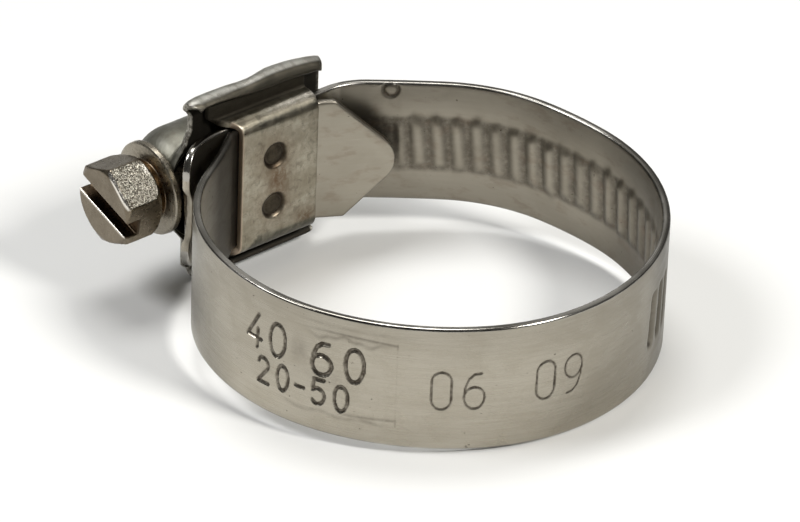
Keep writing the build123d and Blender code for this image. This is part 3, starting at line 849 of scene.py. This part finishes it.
# the seam's bead: lighter where it faces up and out, painted shade where it faces the hose and under the lip
k.col = k.mix(bead, k.col, k.mix(k.ramp(lip, .50, .68), (.066, .060, .047), k.mix(k.ramp(bl, .40, .62), (.430, .420, .385), (.300, .288, .255))))
# painted glints on the bead where it faces the hose
glint = k.noise(k.scaled(k.st, (1, 1, 1), (4, 7, 1)), 2.6, 3, .6)
k.col = k.mix(k.math("MULTIPLY", k.math("MULTIPLY", bead, k.ramp(glint, .62, .70, 0, .6)), k.ramp(lip, .05, .30, 1, 0)), k.col, (.50, .47, .42))
# painted shade: the inside of the cover and the lower seam's bead nearly black
k.col = k.mix(k.math("MULTIPLY", k.attr("dirt").outputs["Fac"], .95), k.col, (.022, .019, .015))
# painted highlights along the edges
k.col = k.mix(k.math("MULTIPLY", k.attr("edge").outputs["Fac"], .8), k.col, k.mix(k.ramp(glint, .45, .58), (.22, .205, .175), (.56, .54, .48)))
k.rough = k.math("ADD", k.rough, k.math("MULTIPLY", k.attr("dirt").outputs["Fac"], .2))
k.rough = k.math("SUBTRACT", k.rough, k.math("MULTIPLY", k.attr("edge").outputs["Fac"], .16))
k.nrm = k.bump(bl, .30, .00014, k.nrm)
cover.data.materials.append(finish(k))

# screw: nickel-grey, brown in the groove, one rough flat with painted sparkle, painted highlights on some edges
k = Nodes("screw_steel")
st = k.attr("strip").outputs["Vector"]
obj = k.add("ShaderNodeTexCoord").outputs["Object"]
cl = k.noise(obj, 420.0, 5, .6)
fine = k.noise(obj, 3200.0, 4, .6)
tiny = k.noise(obj, 7200.0, 3, .7)
col = k.mix(k.ramp(cl, .35, .68), (.245, .208, .155), (.180, .148, .105))
sx = k.add("ShaderNodeSeparateXYZ"); k.link(st, sx.inputs[0])
col = k.mix(k.ramp(sx.outputs["X"], -17.95, -18.08, 0, .30), col, (.055, .042, .028))
col = k.mix(k.ramp(sx.outputs["X"], -13.55, -13.46, 0, .50), col, (.360, .338, .285))
rg = k.attr("rough").outputs["Fac"]
# the rough flat: speckled light and dark colour as painted sparkle, over real bumps
col = k.mix(rg, col, k.mix(k.ramp(tiny, .40, .60), (.50, .472, .400), (.105, .090, .068)))
gr = k.attr("groove").outputs["Fac"]
col = k.mix(k.math("MULTIPLY", gr, k.ramp(cl, .25, .60, .55, .95)), col, (.150, .080, .028))
sl = k.attr("slotm").outputs["Fac"]
col = k.mix(k.math("MULTIPLY", sl, .90), col, (.045, .030, .018))
sh = k.attr("shine").outputs["Fac"]
# painted highlights on the edges
col = k.mix(sh, col, (.80, .76, .69))
k.col = col
k.rough = k.math("ADD", k.ramp(fine, .3, .7, .24, .38), k.math("MULTIPLY", rg, .02))
k.rough = k.math("SUBTRACT", k.rough, k.math("MULTIPLY", sh, .06))
n1 = k.bump(fine, .10, .00003)
hgt = k.math("MULTIPLY", k.math("ADD", k.noise(obj, 2600.0, 2, .5), k.math("MULTIPLY", tiny, .5)), rg)
k.nrm = k.bump(hgt, .95, .00022, n1)
screw.data.materials.append(finish(k))

# ------------------------------------------------------------------ floor
n = Vector((0, .0850, .9964)).normalized()
p0 = Vector((0, -.01863, -.006)) - n * .00002
# the table is level with the clamp's lowest points; well in front of it the sweep turns flat
yb, slope = -.070, n.y / n.z
ys = [1.6, .5, .05, -.03] + [yb + .004 * (4 - k) / 2 for k in range(9)] + [-.12, -.3, -1.6]
rowsf = []
for yy in ys:
    e = max(0.0, yb + .008 - yy)
    turn = e if e > .016 else e * e / .032
    turn = turn - (.008 if e > .016 else 0)
    zz = p0.z - (yy - p0.y) * slope - slope * turn
    rowsf.append(zz)
me = bpy.data.meshes.new("floor")
fv = [(sx, yy, zz) for yy, zz in zip(ys, rowsf) for sx in (-1.6, 1.6)]
ff = [(2 * k, 2 * k + 2, 2 * k + 3, 2 * k + 1) for k in range(len(ys) - 1)]
me.from_pydata(fv, [], ff)
me.update(); me.shade_smooth()
floor = bpy.data.objects.new("floor", me); sc.collection.objects.link(floor)
fm = bpy.data.materials.new("floor"); fm.use_nodes = True
fb = fm.node_tree.nodes["Principled BSDF"]
fb.inputs["Base Color"].default_value = (.76, .76, .75, 1)
fb.inputs["Roughness"].default_value = .85
fb.inputs["Specular IOR Level"].default_value = .15
me.materials.append(fm)

# ------------------------------------------------------------------ light
w = bpy.data.worlds.new("studio"); sc.world = w; w.use_nodes = True
bg = w.node_tree.nodes["Background"]
bg.inputs[0].default_value = (1, .99, .95, 1)
wt = w.node_tree
wc = wt.nodes.new("ShaderNodeTexCoord")
wd = wt.nodes.new("ShaderNodeVectorMath"); wd.operation = "DOT_PRODUCT"
wt.links.new(wc.outputs["Generated"], wd.inputs[0])
wd.inputs[1].default_value = (.467, .551, .691)         # away from the camera, 45 degrees up
wm = wt.nodes.new("ShaderNodeMapRange"); wm.interpolation_type = "SMOOTHSTEP"
wm.inputs["From Min"].default_value = .55; wm.inputs["From Max"].default_value = .92
wm.inputs["To Min"].default_value = .065; wm.inputs["To Max"].default_value = .42
wt.links.new(wd.outputs["Value"], wm.inputs["Value"])
wt.links.new(wm.outputs["Result"], bg.inputs[1])


def area(name, at, look, size, power, color=(1, 1, 1), size_y=None):
    d = bpy.data.lights.new(name, "AREA")
    d.shape = "RECTANGLE" if size_y else "DISK"
    d.size = size
    if size_y:
        d.size_y = size_y
    d.energy = power
    d.color = color
    o = bpy.data.objects.new(name, d); sc.collection.objects.link(o)
    o.location = at
    o.rotation_euler = (Vector(look) - Vector(at)).to_track_quat("-Z", "Y").to_euler()
    return o


CX = Vector((0.777135, -0.628346, 0.035252))     # picture right
CY = Vector((0.324778, 0.448403, 0.832738))      # picture up
CZ = Vector((-0.539055, -0.635701, 0.552544))    # towards the camera
BK = n.cross(CX).normalized()                    # away from the camera, along the floor
FR = -BK


def towards(right, front, up, dist):
    return (CX * right + FR * front + n * up).normalized() * dist


area("key", towards(.90, .72, 1.00, .75), (0, 0, 0), .17, 4.7, (1, .985, .95))
area("left", towards(-.77, .13, 1.00, .75), (0, 0, 0), .28, 2.75, (.985, .99, 1))
area("back", towards(-.05, -.30, 1.00, .90), (0, 0, 0), .36, 3.0, (1, 1, .985))

# ------------------------------------------------------------------ camera
cam = bpy.data.cameras.new("camera")
co = bpy.data.objects.new("camera", cam); sc.collection.objects.link(co)
co.matrix_world = Matrix(((CX.x, CY.x, CZ.x, -0.298601), (CX.y, CY.y, CZ.y, -0.349500), (CX.z, CY.z, CZ.z, 0.305096), (0, 0, 0, 1)))
cam.sensor_fit = "HORIZONTAL"
cam.sensor_width = 36; cam.lens = 292.5
cam.shift_x = -0.03466; cam.shift_y = 0.0001
cam.clip_start = .01; cam.clip_end = 20
sc.camera = co
sc.view_settings.view_transform = "Standard"
